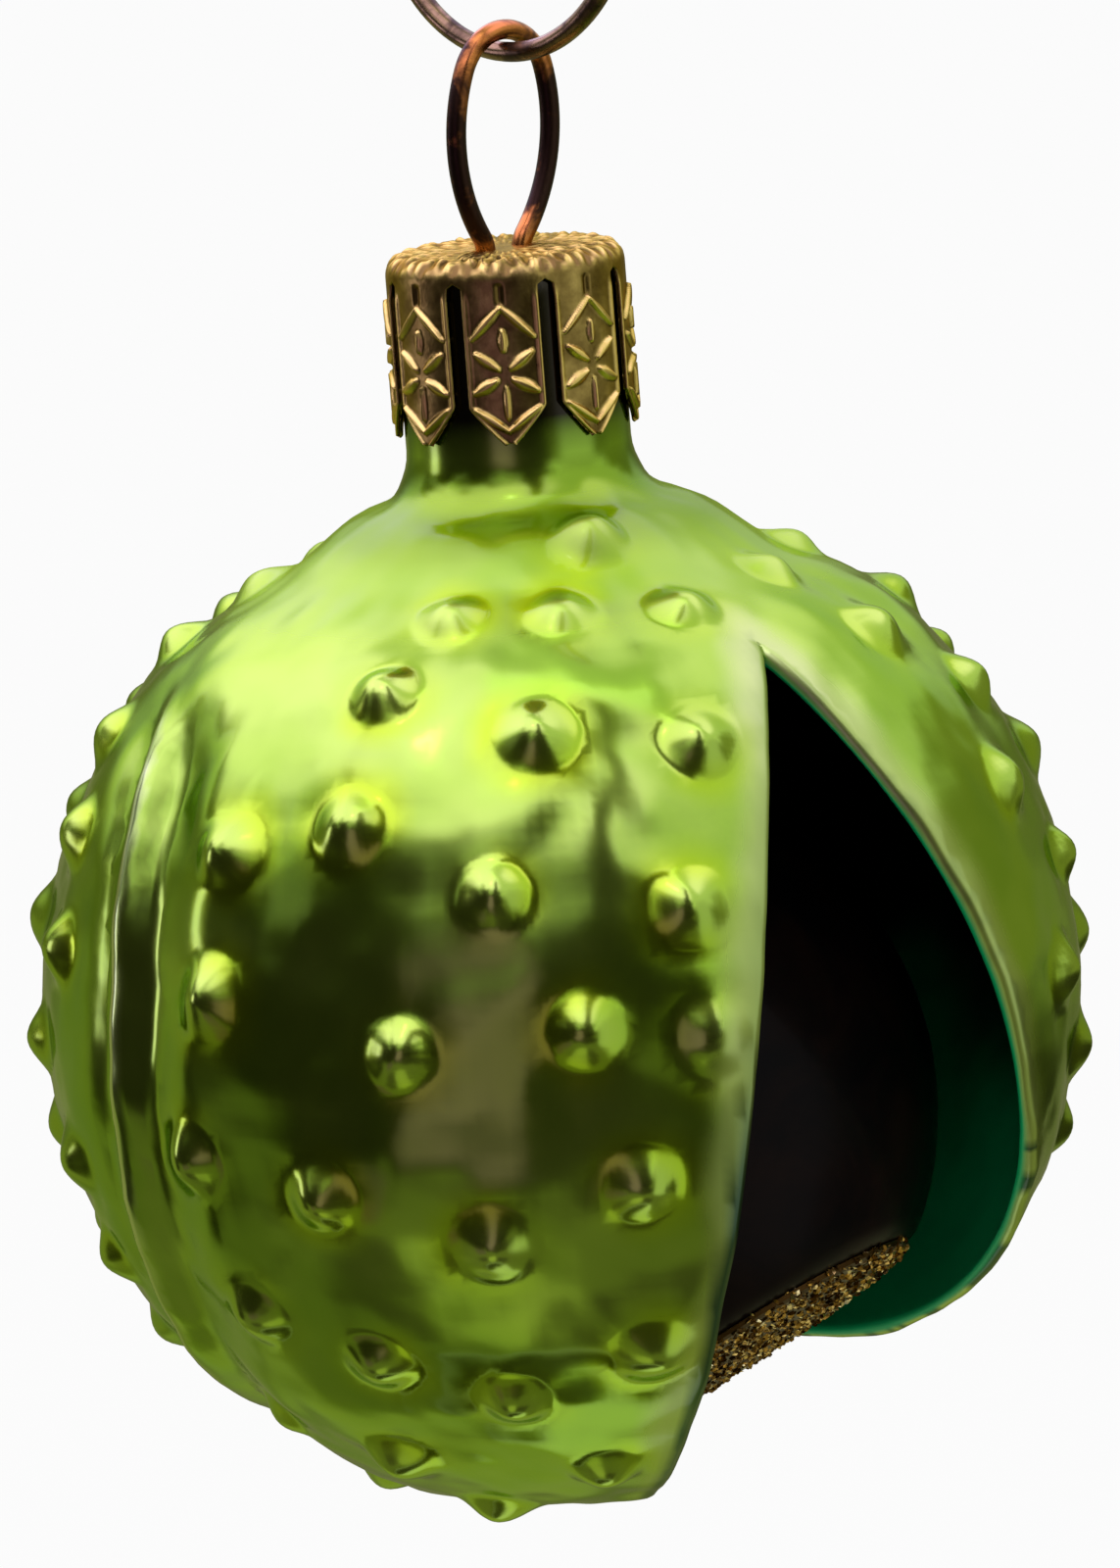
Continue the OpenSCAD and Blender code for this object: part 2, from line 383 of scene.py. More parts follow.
def arc(x, z, radius, start, end, steps):
    """Points on an arc, from one angle in degrees to another."""
    angles = np.radians(np.linspace(start, end, steps + 1))
    return [(x + radius * math.cos(a), z + radius * math.sin(a)) for a in angles]


def revolve(outline, around):
    """Skin turned about Z from an outline of radius and height, listed from the top down."""
    points = []
    rings = []
    for radius, height in outline:
        if radius < 1e-6:
            rings.append([len(points)] * around)
            points.append((0, 0, height))
            continue
        rings.append(list(range(len(points), len(points) + around)))
        for turn in np.linspace(0, math.tau, around, endpoint=False):
            points.append((radius * math.cos(turn), radius * math.sin(turn), height))
    faces = []
    for upper, lower in zip(rings, rings[1:]):
        for i in range(around):
            j = (i + 1) % around
            corners = [upper[i], lower[i], lower[j], upper[j]]
            faces.append(list(dict.fromkeys(corners)))
    return points, faces


def eased(values, stops):
    """Profile through a few (place, height) stops with level tangents at each of them."""
    places = np.array([s[0] for s in stops])
    heights = np.array([s[1] for s in stops])
    values = np.clip(values, places[0], places[-1])
    i = np.clip(np.searchsorted(places, values) - 1, 0, len(stops) - 2)
    t = (values - places[i]) / (places[i + 1] - places[i])
    return heights[i] + (heights[i + 1] - heights[i]) * t * t * (3 - 2 * t)


# Husk

SKIN_AROUND = 240
BALL_ROWS = 120
NECK_ROWS = 10
FILLET_ROWS = 8
RIM_ROUND = 0.4
DIP_STARTS = 42.0
DIP_DEEPEST = 60.0
SNAP = 0.12
SNAP_PASSES = 4
CUT_TOLERANCE = 1e-4
CLOSE = 0.02
LIP_MARGIN = 1.5
BALL_MARGIN = 1.0
FINE_REACH = 2.4
SPIKE_FALL = 2.2

# Seams: height across them, then share of that height up the ball, as (place, value) stops
SEAM_PROFILE = [(-6.4, 0), (-2.4, -0.75), (0, 0.25), (1, -0.35), (2.8, 0)]
SEAM_ENDS = [(-24, 0), (-19, 1), (14.5, 1), (18.5, 0)]
BACK_SEAM_PROFILE = [(0, -0.4), (0.8, 0)]
BACK_SEAM_ENDS = [(-17, 0), (-14, 1), (18, 1), (21, 0)]
SEAM_LINES = (-2.6, -1.7, -0.8, -0.3, 0.0, 0.3, 0.65, 1.0, 1.7)
SEAM_CUT_REACH = 22.0
RIDGE_HALF = 0.25

# Bands up the glass, as (height, share) stops: satin shoulder, olive collar, painted shade on the neck
# under the cap
SHOULDER_BAND = [(19.5, 0), (22, 1), (25, 1), (26.2, 0)]
COLLAR_BAND = [(22.5, 0), (24.4, 1), (26.5, 1), (28, 0)]
CAP_SHADE_BAND = [(-CAP_HEIGHT - 0.4, 0), (-CAP_HEIGHT + 1.0, 1)]
# Dark teal along the front lip: by distance from the lip, then by height
TEAL_ACROSS = [(0.1, 1), (0.7, 0)]
TEAL_UP = [(-7, 1), (3, 0.15)]


def skin_outline():
    """Outside of neck and ball, from under the rim down to the bottom."""
    rim = RIM_Z - BALL_Z - RIM_ROUND
    fillet_x = NECK_R + NECK_FILLET
    fillet_z = math.sqrt((BALL_R + NECK_FILLET) ** 2 - fillet_x ** 2)
    meet = math.degrees(math.atan2(fillet_z, fillet_x))
    neck = [(NECK_R, z) for z in np.linspace(rim, fillet_z, NECK_ROWS)][:-1]
    fillet = arc(fillet_x, fillet_z, NECK_FILLET, 180, 180 + meet, FILLET_ROWS)[:-1]
    latitudes = np.linspace(meet, -90, BALL_ROWS + 1)[:-1]
    radii = BALL_R - SHOULDER_DIP * eased(latitudes, [(DIP_STARTS, 0), (DIP_DEEPEST, 1), (meet, 0)])
    ball = []
    for latitude, radius in zip(latitudes, radii):
        angle = math.radians(latitude)
        ball.append((radius * math.cos(angle), radius * math.sin(angle)))
    return neck + fillet + ball + [(0, -BALL_R)]


def lip_planes():
    """Direction and distance of the planes where the skin ends, short of the lips by their rounding."""
    front = heading(*FRONT_LIP[:2])
    side = heading(*SIDE_LIP[:2])
    return front, FRONT_LIP[2] - LIP_ROUND, side, SIDE_LIP[2] + LIP_ROUND


def snap_to_plane(bm, normal, distance, near):
    """Slide points that lie close to a plane onto it, along the ball."""
    for v in bm.verts:
        gap = normal.dot(v.co) - distance
        if abs(gap) > SNAP or not near(v.co):
            continue
        length = v.co.length
        for _ in range(SNAP_PASSES):
            v.co -= normal * (normal.dot(v.co) - distance)
            v.co *= length / v.co.length


def slice_skin(bm, normal, distance, near):
    """Edge line where a plane crosses the skin, without taking anything away."""
    snap_to_plane(bm, normal, distance, near)
    faces = [f for f in bm.faces if near(f.calc_center_median())]
    edges = list({e for f in faces for e in f.edges})
    verts = list({v for f in faces for v in f.verts})
    geometry = verts + edges + faces
    spot = normal * distance
    bmesh.ops.bisect_plane(bm, geom=geometry, dist=CUT_TOLERANCE, plane_co=spot, plane_no=normal)


def cut_skin(mesh):
    """Take the wedge between the lip planes out of the skin, and lay edges along the left seam."""
    front, front_at, side, side_at = lip_planes()
    seam = heading(*SEAM[:2])
    bm = bmesh.new()
    bm.from_mesh(mesh)

    def near_front(p):
        return side.dot(p) < side_at + LIP_MARGIN and p.length < BALL_R + BALL_MARGIN

    def near_side(p):
        return front.dot(p) > front_at - LIP_MARGIN and p.length < BALL_R + BALL_MARGIN

    def near_seam(p):
        return abs(p.z) < SEAM_CUT_REACH and p.length < BALL_R + BALL_MARGIN

    slice_skin(bm, front, front_at, near_front)
    slice_skin(bm, side, side_at, near_side)
    for offset in SEAM_LINES:
        slice_skin(bm, seam, SEAM[2] + offset, near_seam)
    gone = []
    for f in bm.faces:
        middle = f.calc_center_median()
        if front.dot(middle) > front_at and side.dot(middle) < side_at:
            gone.append(f)
    bmesh.ops.delete(bm, geom=gone, context="FACES")
    bmesh.ops.dissolve_degenerate(bm, dist=CLOSE, edges=bm.edges)
    bm.to_mesh(mesh)
    bm.free()


def seam_place(points):
    """Distance of points from the left seam, and how far the seam is raised there, 0 to 1."""
    across = points @ np.array(heading(*SEAM[:2])) - SEAM[2]
    along = eased(points[:, 2], SEAM_ENDS)
    return across, along * (points[:, 0] < 0)


def crease_seams(mesh):
    """Left seam as a thin ridge over a hollow on the front valve, back seam as a shallow groove."""
    points = points_of(mesh)
    length = np.linalg.norm(points, axis=1)
    across, along = seam_place(points)
    front_left = eased(across, SEAM_PROFILE)
    back = eased(np.abs(points[:, 0]), BACK_SEAM_PROFILE) * (points[:, 1] > 0)
    up_back = eased(points[:, 2], BACK_SEAM_ENDS)
    on_ball = length < BALL_R + BALL_MARGIN / 2
    lift = (front_left * along + back * up_back) * on_ball
    points *= ((length + lift) / length)[:, None]
    mesh.vertices.foreach_set("co", points.ravel())


def spike_tree(material):
    """Raise a blended spike at each place, its points gathered to the tip, and let the glass waver."""
    inputs = {"Places": "Object"}
    inputs.update({name: "Float" for name in ("Spread", "Height", "Gather", "Waver")})
    graph, given = new_tree("husk_spikes", inputs)
    position = graph.add("GeometryNodeInputPosition")
    places = graph.add("GeometryNodeObjectInfo", None, {"Object": given["Places"]}, "Geometry")
    nearest = graph.add("GeometryNodeProximity", {"target_element": "POINTS"}, {0: places})
    spread = given["Spread"] * (0.8 + 0.4 * graph.noise(nearest, 0.21, 0.0))
    uneven = 0.84 + 0.32 * graph.noise(position, 0.4, 1.0)
    away = nearest.other("Distance") * uneven / spread
    reach = away.lower_of(1.0)
    # Ring round each spike's foot, which the lacquer shows as a painted reflection
    foot = graph.fade(away, 0.3, 0.7) * (1.0 - graph.fade(away, 0.85, 1.6))
    pull = given["Gather"] * (1.0 - reach) ** 2.0
    to_tip = graph.vector("SUBTRACT", nearest, position)
    moved = graph.vector("ADD", position, graph.stretched(to_tip, pull))
    height = (1.0 - (reach * (1.0 - pull)) ** 2.0) ** SPIKE_FALL
    length = graph.vector("LENGTH", position, out="Value")
    ball = 1.0 - graph.fade(length, BALL_R + 0.2, BALL_R + 1.2)
    waver = (graph.noise(position, 0.14, 2.0) - 0.6) * given["Waver"] * ball
    radius = length + height * given["Height"] + waver
    raised = graph.stretched(graph.vector("NORMALIZE", moved), radius)
    put = {"Geometry": given["Geometry"], "Position": raised}
    shaped = graph.add("GeometryNodeSetPosition", None, put)
    kind = {"data_type": "FLOAT", "domain": "POINT"}
    for name, value in (("tip", height), ("foot", foot)):
        marked = {"Geometry": shaped, "Name": name, "Value": value}
        shaped = graph.add("GeometryNodeStoreNamedAttribute", kind, marked)
    return close_tree(graph, shaped, material)


def spike_places():
    """Where the spikes stand on the ball."""
    places = list(FRONT_SPIKES)
    for latitude, first, step, count in BACK_ROWS:
        places += [(latitude, first + i * step) for i in range(count)]
    return [heading(*p) * BALL_R for p in places]


def refined(skin, places):
    """Copy of the skin, finer under the spikes. Its first points are those of the skin."""
    nearest = KDTree(len(places))
    for i, place in enumerate(places):
        nearest.insert(place, i)
    nearest.balance()
    bm = bmesh.new()
    bm.from_mesh(skin)
    edges = set()
    for f in bm.faces:
        gap = nearest.find(f.calc_center_median())[2]
        if gap < FINE_REACH and not any(v.is_boundary for v in f.verts):
            edges.update(f.edges)
    listed = sorted(edges, key=lambda e: e.index)
    bmesh.ops.subdivide_edges(bm, edges=listed, cuts=1, use_grid_fill=True)
    fine = bpy.data.meshes.new("fine_skin")
    bm.to_mesh(fine)
    bm.free()
    return fine


def spike_marks(places):
    """Loose points that the tree measures its distances from."""
    thing = bpy.data.objects.new("places", mesh_of("places", places))
    bpy.context.scene.collection.objects.link(thing)
    return thing


def lip_clearance(points):
    """Distance of points from the split, and the way out over the lip or rim they lie on."""
    front, front_at, side, side_at = lip_planes()
    behind_front = front_at - points @ np.array(front)
    behind_side = points @ np.array(side) - side_at
    clearance = np.hypot(np.maximum(behind_front, 0), np.maximum(behind_side, 0))
    on_front = np.abs(behind_front) < CLOSE
    on_side = np.abs(behind_side) < CLOSE
    on_rim = points[:, 2] > RIM_Z - BALL_Z - RIM_ROUND - CLOSE / 2
    out = on_front[:, None] * np.array(front) - on_side[:, None] * np.array(side)
    out = np.where(on_rim[:, None], np.array((0, 0, 1.0)), out)
    return clearance, out


def lip_edge(points):
    """Share of dark teal along the lip of the front valve, most in its lower half."""
    front, front_at, side, side_at = lip_planes()
    near = eased(front_at - points @ np.array(front), TEAL_ACROSS)
    low = eased(points[:, 2], TEAL_UP)
    return near * low * (points @ np.array(side) < side_at)


def thick_husk(outer, inner, outer_faces, inner_faces, open_edges, out, marks):
    """Closed glass wall: outside, lining and a rounded lip along every open edge.

    The lining's points stand under the first points of the outside.
    """
    count = len(outer)
    under = len(inner)
    points = [outer, inner]
    faces = outer_faces + [[count + i for i in reversed(f)] for f in inner_faces]
    inside = [np.zeros(count), np.ones(under)]
    rim = sorted({i for edge in open_edges for i in edge})
    place = {v: n for n, v in enumerate(rim)}
    middle = (outer[rim] + inner[rim]) / 2
    half = (outer[rim] - inner[rim]) / 2
    steps = (45, 90, 135)
    for angle in steps:
        lean = math.radians(angle)
        points.append(middle + half * math.cos(lean) + out[rim] * LIP_ROUND * math.sin(lean))
        inside.append(np.full(len(rim), angle / 180))
    first = count + under
    loops = [rim]
    loops += [range(first + k * len(rim), first + (k + 1) * len(rim)) for k in range(len(steps))]
    loops += [[count + v for v in rim]]
    for near, far in zip(loops, loops[1:]):
        for a, b in open_edges:
            faces.append([near[place[b]], near[place[a]], far[place[a]], far[place[b]]])
    mesh = mesh_of("husk", np.concatenate(points), faces)
    mark(mesh, "inside", np.concatenate(inside))
    for name, values in marks.items():
        mark(mesh, name, np.concatenate([values, values[:under]] + [values[rim]] * len(steps)))
    smooth(mesh)
    return mesh


def faces_of(mesh):
    """Faces of a mesh as lists of points."""
    return [list(f.vertices) for f in mesh.polygons]


def open_edges_of(mesh):
    """Edges of the split and the rim, each in the direction of its face."""
    bm = bmesh.new()
    bm.from_mesh(mesh)
    loops = [e.link_loops[0] for e in bm.edges if e.is_boundary]
    edges = [(loop.vert.index, loop.link_loop_next.vert.index) for loop in loops]
    bm.free()
    return edges


def lining_points(points, outer):
    """Inside of the glass under points of the skin, and always under its finished outside."""
    length = np.linalg.norm(points, axis=1)
    below = np.minimum(length - WALL, np.linalg.norm(outer, axis=1) - WALL / 2)
    inner = points * (below / length)[:, None]
    flat = np.hypot(points[:, 0], points[:, 1])
    neck = (flat < NECK_R + CLOSE / 2) & (points[:, 2] > 0)
    inner[neck, :2] = points[neck, :2] * (NECK_BORE / NECK_R)
    inner[neck, 2] = points[neck, 2]
    return inner


def husk():
    """Spiked glass husk, split open at the right."""
    skin = mesh_of("skin", *revolve(skin_outline(), SKIN_AROUND))
    cut_skin(skin)
    places = spike_places()
    fine = refined(skin, places)
    before = points_of(fine)
    clearance, out = lip_clearance(before)
    across, along = seam_place(before)
    crease_seams(fine)
    loose = spike_marks(places)
    sizes = {"Places": loose, "Spread": SPIKE_SPREAD, "Height": SPIKE_HEIGHT}
    sizes.update({"Gather": SPIKE_GATHER, "Waver": GLASS_WAVER})
    material = husk_lacquer()
    shaped = grown(fine, spike_tree(material), sizes)
    bpy.data.objects.remove(loose)
    marks = {
        "tip": marks_of(shaped, "tip"),
        "foot": marks_of(shaped, "foot"),
        "lip": clearance,
        # Where the painted highlight along the seam ridge goes
        "ridge": np.exp(-(across / RIDGE_HALF) ** 2) * along,
        "edge": lip_edge(before),
        "shoulder": eased(before[:, 2], SHOULDER_BAND),
        "collar": eased(before[:, 2], COLLAR_BAND),
        "capped": eased(before[:, 2] + BALL_Z, CAP_SHADE_BAND),
    }
    outer = points_of(shaped)
    inner = lining_points(points_of(skin), outer[:len(skin.vertices)])
    faces = (faces_of(shaped), faces_of(skin))
    mesh = thick_husk(outer, inner, *faces, open_edges_of(skin), out, marks)
    piece("husk_glass", mesh, BALL, material, "glass", "husk")


# Colours of the husk's lacquer, and of the highlights, reflections and shade painted on it
LEAF_GREEN = paint(134, 176, 42)
PALE_LEAF = paint(156, 192, 68)
FOOT_REFLECTION_GREEN = paint(158, 194, 0)
COLLAR_OLIVE = paint(112, 148, 0)
TIP_HIGHLIGHT_GREEN = paint(180, 208, 88)
RIDGE_HIGHLIGHT_CREAM = paint(226, 232, 190)
LIP_HIGHLIGHT_GREY = paint(190, 202, 132)
LIP_TEAL = paint(8, 62, 52)
NECK_SHADE_BROWN = paint(34, 30, 16)
LINING_EMERALD = paint(0, 160, 92)
LINING_SHADE_BLACK = paint(1, 12, 8)


def husk_lacquer():
    """Green lacquer over silvered glass outside, emerald fading to black in the lining. The colour also
    holds painted highlights on the tips, the seam ridge and the lips, a painted reflection round the
    spike feet, and painted shade on the neck under the cap and deep in the lining.
    """
    material, graph = new_material("green_lacquer")
    place = graph.add("ShaderNodeTexCoord", None, None, "Object")
    inside = graph.fade(graph.attribute("inside"), 0.3, 0.6)
    tip = graph.attribute("tip")
    cloudy = graph.noise(place, 90, 3, 0.55)
    fine = graph.noise(place, 900, 2)
    from_lip = graph.attribute("lip")
    patches = graph.fade(graph.noise(place, 130, 1), 0.42, 0.6)
    # Painted reflection: a saturated green ring round each spike's foot, in patches, standing in for the
    # glass mirrored there
    foot_reflection = graph.attribute("foot") * (0.25 + 0.75 * patches)
    # Band along the lips: its pale colour is a painted highlight, and the band is also rougher
    strip = 1.0 - graph.fade(from_lip + (cloudy - 0.5) * 4.0, 0.2, 2.2)
    coats = [
        (foot_reflection * 0.9, FOOT_REFLECTION_GREEN),
        (graph.attribute("collar") * 0.8, COLLAR_OLIVE),
        # Painted highlight: spike tips paler, standing in for their glints
        (tip * 0.5, TIP_HIGHLIGHT_GREEN),
        # Painted highlight along the crest of the left seam
        (graph.attribute("ridge") * 0.8, RIDGE_HIGHLIGHT_CREAM),
        (strip * 0.5, LIP_HIGHLIGHT_GREY),
        (graph.attribute("edge") * 0.9, LIP_TEAL),
        # Painted shade on the neck where the cap covers it
        (graph.attribute("capped"), NECK_SHADE_BROWN),
    ]
    leaf = graph.blend(graph.fade(cloudy, 0.35, 0.7), LEAF_GREEN, PALE_LEAF)
    for share, colour in coats:
        leaf = graph.blend(share, leaf, colour)
    # Lining darker deeper in from the lips: partly black paint, partly painted shade of the hollow
    deep_shade = graph.fade(from_lip + (cloudy - 0.5) * 14.0, 1.5, 18.0)
    lining = graph.blend(deep_shade, LINING_EMERALD, LINING_SHADE_BLACK)
    rough = 0.14 + 0.06 * cloudy + 0.04 * fine
    flank = tip * (1.0 - tip) * 4.0
    frosted = 0.18 * strip * (1.0 - inside)
    satin = 0.24 * graph.attribute("shoulder") + flank * 0.03 + frosted
    graph.surface({
        "Base Color": graph.blend(inside, leaf, lining),
        "Metallic": 1.0 - inside,
        "Roughness": rough + 0.25 * inside + satin,
        "Specular Tint": paint(190, 214, 120),
        "Coat Weight": 0.45,
        "Coat Roughness": 0.1,
        "Normal": graph.bump(cloudy, 0.12, 0.0006),
    })
    return material


# Seed and its glitter

SEED_AROUND = 96
FLAT_ROWS = 7
EDGE_ROWS = 10
SIDE_ROWS = 56
STALK_AROUND = 48
GLITTER_DENSITY = 7.0
GLITTER_SEED = 11
FLAKE_LEAST = 0.12
FLAKE_MOST = 0.24
FLAKE_TILT = 1.1
FLAKE_HEIGHT = 0.25
FLAKE_SIDES = 6
GLUE_SHARE = 0.7
# Rounded edge of the glue: inset from its rim, and drop from its top
GLUE_EDGE = [(0.4, 0), (0.1, 0.12), (0, 0.3)]


def seed_outline():
    """Outside of the seed from the middle of its flat base up to its apex."""
    meet = math.degrees(math.atan2(SEED_EDGE_Z, SEED_EDGE_X))
    flat = [(x, SEED_FLAT) for x in np.linspace(0, SEED_EDGE_X, FLAT_ROWS)]
    edge = arc(SEED_EDGE_X, SEED_EDGE_Z, SEED_EDGE_R, 90, meet, EDGE_ROWS)[1:]
    side = arc(0, 0, SEED_R, meet, -90, SIDE_ROWS)[1:-1]
    return flat + edge + side + [(0, -SEED_R)]


def seed_skin():
    """Seed on the short stalk that holds it to the back wall."""
    points, faces = revolve(seed_outline(), SEED_AROUND)
    wall = math.sqrt((BALL_R - WALL) ** 2 - SEED_PLACE.x ** 2 - SEED_PLACE.z ** 2) - SEED_PLACE.y
    stalk = [(0, wall), (STALK_R - STALK_ROUND, wall), (STALK_R, wall - STALK_ROUND)]
    stalk += arc(STALK_R + STALK_FLARE, STALK_ROOT + STALK_FLARE, STALK_FLARE, 180, 240, 8)
    stalk += [(0, STALK_ROOT)]
    along = Matrix.Translation(SEED_PLACE) @ turned("X", -90)
    stalk_points, stalk_faces = revolve(stalk, STALK_AROUND)
    first = len(points)
    for point in stalk_points:
        spot = along @ Vector(point)
        spot *= min(1.0, (BALL_R - WALL) / spot.length)
        points.append(SEED.inverted() @ BALL @ spot)
    faces += [[first + i for i in f] for f in stalk_faces]
    return mesh_of("seed", points, faces)


def conker():
    """Dark seed inside the husk."""
    mesh = seed_skin()
    smooth(mesh)
    piece("conker_glass", mesh, SEED, seed_lacquer(), "glass", "conker")


def seed_lacquer():
    """Nearly black brown lacquer with a faint grain."""
    material, graph = new_material("seed_lacquer")
    place = graph.add("ShaderNodeTexCoord", None, None, "Object")
    cloudy = graph.noise(place, 160, 4, 0.6, 0.6)
    brown = graph.blend(graph.fade(cloudy, 0.3, 0.75), paint(5, 4, 5), paint(20, 10, 7))
    graph.surface({
        "Base Color": brown,
        "Roughness": 0.3 + 0.1 * cloudy,
        "Specular IOR Level": 0.04,
        "Coat Weight": 0.03,
        "Coat Roughness": 0.1,
        "Normal": graph.bump(cloudy, 0.1, 0.0004),
    })
    return material


def glitter_tree(material):
    """Flakes strewn at random tilts over a surface, each with its own glint."""
    inputs = {"Flake": "Object", "Density": "Float", "Seed": "Int"}
    inputs.update({"Least size": "Float", "Most size": "Float"})
    graph, given = new_tree("scar_glitter", inputs)
    strewn = {"Mesh": given["Geometry"], "Density": given["Density"], "Seed": given["Seed"]}
    spots = graph.add("GeometryNodeDistributePointsOnFaces", None, strewn)
    flake = graph.add("GeometryNodeObjectInfo", None, {"Object": given["Flake"]}, "Geometry")
    angles = {"Min": (-FLAKE_TILT, -FLAKE_TILT, 0), "Max": (FLAKE_TILT, FLAKE_TILT, math.tau), "Seed": 3}
    tilt = graph.add("FunctionNodeRandomValue", {"data_type": "FLOAT_VECTOR"}, angles)
    leaned = {0: spots.other("Rotation"), 1: tilt}
    lying = graph.add("FunctionNodeRotateEuler", {"space": "LOCAL"}, leaned)
    sizes = {2: given["Least size"], 3: given["Most size"], "Seed": 5}
    size = graph.add("FunctionNodeRandomValue", {"data_type": "FLOAT"}, sizes, 1)
    laid = {"Points": spots, "Instance": flake, "Rotation": lying, "Scale": size}
    flakes = graph.add("GeometryNodeInstanceOnPoints", None, laid)
    glint = graph.add("FunctionNodeRandomValue", {"data_type": "FLOAT"}, {2: 0.0, 3: 1.0, "Seed": 7}, 1)
    settings = {"data_type": "FLOAT", "domain": "INSTANCE"}
    marked = {"Geometry": flakes, "Name": "glint", "Value": glint}
    named = graph.add("GeometryNodeStoreNamedAttribute", settings, marked)
    whole = graph.add("GeometryNodeJoinGeometry", None, {"Geometry": given["Geometry"]})
    graph.tree.links.new(named.output, whole.output.node.inputs[0])
    return close_tree(graph, whole, material)


def flake_shape():
    """Flat six-sided grain, a low pyramid on each face."""
    turns = np.linspace(0, math.tau, FLAKE_SIDES, endpoint=False)
    ring = [(math.cos(a), math.sin(a), 0) for a in turns]
    points = ring + [(0, 0, FLAKE_HEIGHT), (0, 0, -FLAKE_HEIGHT)]
    upper = FLAKE_SIDES
    lower = FLAKE_SIDES + 1
    pairs = [(i, (i + 1) % FLAKE_SIDES) for i in range(FLAKE_SIDES)]
    faces = [(i, j, upper) for i, j in pairs] + [(j, i, lower) for i, j in pairs]
    thing = bpy.data.objects.new("flake", mesh_of("flake", points, faces))
    bpy.context.scene.collection.objects.link(thing)
    return thing


def conker_scar():
    """Gold glitter on the flat base of the seed."""
    top = SEED_FLAT + SCAR_THICKNESS * GLUE_SHARE
    middle = SCAR_R * 0.5
    outline = [(0, top), (middle, top)]
    outline += [(SCAR_R - inset, top - drop) for inset, drop in GLUE_EDGE]
    outline += [(SCAR_R, SEED_FLAT), (middle, SEED_FLAT), (0, SEED_FLAT)]
    flake = flake_shape()
    sizes = {"Flake": flake, "Density": GLITTER_DENSITY, "Seed": GLITTER_SEED}
    sizes.update({"Least size": FLAKE_LEAST, "Most size": FLAKE_MOST})
    material = gold_glitter()
    mesh = grown(mesh_of("scar", *revolve(outline, SEED_AROUND)), glitter_tree(material), sizes)
    bpy.data.objects.remove(flake)
    piece("scar_glitter", mesh, SEED, material, "glass", "conker_scar")


def gold_glitter():
    """Brown glue between gold grains of many shades."""
    material, graph = new_material("gold_glitter")
    glint = graph.attribute("glint")
    shades = [
        (0.0, paint(70, 48, 14)), (0.35, paint(140, 104, 32)), (0.7, paint(196, 152, 58)),
        (0.9, paint(236, 204, 120)), (1.0, paint(255, 240, 190)),
    ]
    colour = graph.add("ShaderNodeValToRGB", {"stops": shades}, {"Fac": glint})
    graph.surface({"Base Color": colour, "Metallic": 0.9, "Roughness": 0.42 - 0.22 * glint})
    return material


# Crown cap

PETAL_COLUMNS = 44
WALL_ROWS = 92
TOP_ROWS = 20
CORNER_ROWS = 9
CAP_MIDDLE = 0.02
PETAL_TIP = 0.35
PETAL_BOW = 1.1
LEAF_HEIGHT = 0.24
LUMP_HEIGHT = 0.11
BORDER_SHARE = 0.5
BORDER_INSET = 0.12
BORDER_HALF = 0.2
CREASE_SHARE = 0.6
CREASE_HALF = 0.24
PETAL_MERGE = 0.03

# Raised leaves on a petal: start and end as (across, depth), then half of the width
PETAL_LEAVES = [
    ((0, 2.25), (1.55, 3.8), 0.22), ((0, 3.4), (0, 4.4), 0.24), ((0.3, 5.3), (1.4, 4.5), 0.27),
    ((0.4, 5.85), (1.55, 6.45), 0.32), ((0, 6.2), (0, 7.8), 0.16), ((0, 8.4), (1.6, 7.25), 0.24),
]
# Crease under the corner: share of its depth down the petal
CREASE_ENDS = [(1, 0), (1.3, 1), (1.9, 1), (2.3, 0)]
# Lumps in the rim: share of their height by radius, then by depth
LUMPS_OUT = [(0.9, 0), (2.0, 0.45), (CAP_R - 1.2, 1)]
LUMPS_DOWN = [(0.25, 1), (0.9, 0)]


def petal_half_width(depth):
    """Half of the petal's width at a depth under the cap's top."""
    sector = math.pi * CAP_R / PETALS
    side = sector - PETAL_SLOT / 2
    shoulder = CAP_HEIGHT - PETAL_POINT
    if depth < shoulder:
        return float(eased(depth, [(PETAL_TOP - 0.1, sector), (PETAL_TOP + 0.2, side)]))
    return side + (PETAL_TIP - side) * ((depth - shoulder) / PETAL_POINT) ** PETAL_BOW


def leaf_height(x, depth, start, end, width):
    """Height of one raised leaf at a point, as a share of the highest."""
    dx = end[0] - start[0]
    dz = end[1] - start[1]
    t = ((x - start[0]) * dx + (depth - start[1]) * dz) / (dx * dx + dz * dz)
    t = min(max(t, 0), 1)
    away = math.hypot(x - start[0] - t * dx, depth - start[1] - t * dz)
    share = away / (width * (0.45 + 0.55 * math.sin(math.pi * t)))
    return max(0, 1 - share * share)


def petal_relief(x, depth):
    """Height of the stamping at a point of the petal, as a share of the highest."""
    leaf = max(leaf_height(abs(x), depth, *line) for line in PETAL_LEAVES)
    edge = petal_half_width(depth) - abs(x)
    below_slot = float(eased(depth, [(PETAL_TOP + 0.2, 0), (PETAL_TOP + 1, 1)]))
    border = BORDER_SHARE * below_slot * max(0, 1 - abs(edge - BORDER_INSET) / BORDER_HALF)
    crease = CREASE_SHARE * max(0, 1 - abs(x) / CREASE_HALF) * float(eased(depth, CREASE_ENDS))
    return max(leaf, border) - crease


def crinkle(turn, radius, depth):
    """Lumps pressed into the rim of the cap. They repeat from petal to petal."""
    near_rim = float(eased(radius, LUMPS_OUT) * eased(depth, LUMPS_DOWN))
    lumps = 0.5 * math.sin(PETALS * 5 * turn + 4 * depth)
    lumps += 0.4 * math.sin(PETALS * 7 * turn - 3 * radius)
    lumps += 0.5 * math.sin(PETALS * 2 * turn + 5 * radius)
    return near_rim * LUMP_HEIGHT * lumps


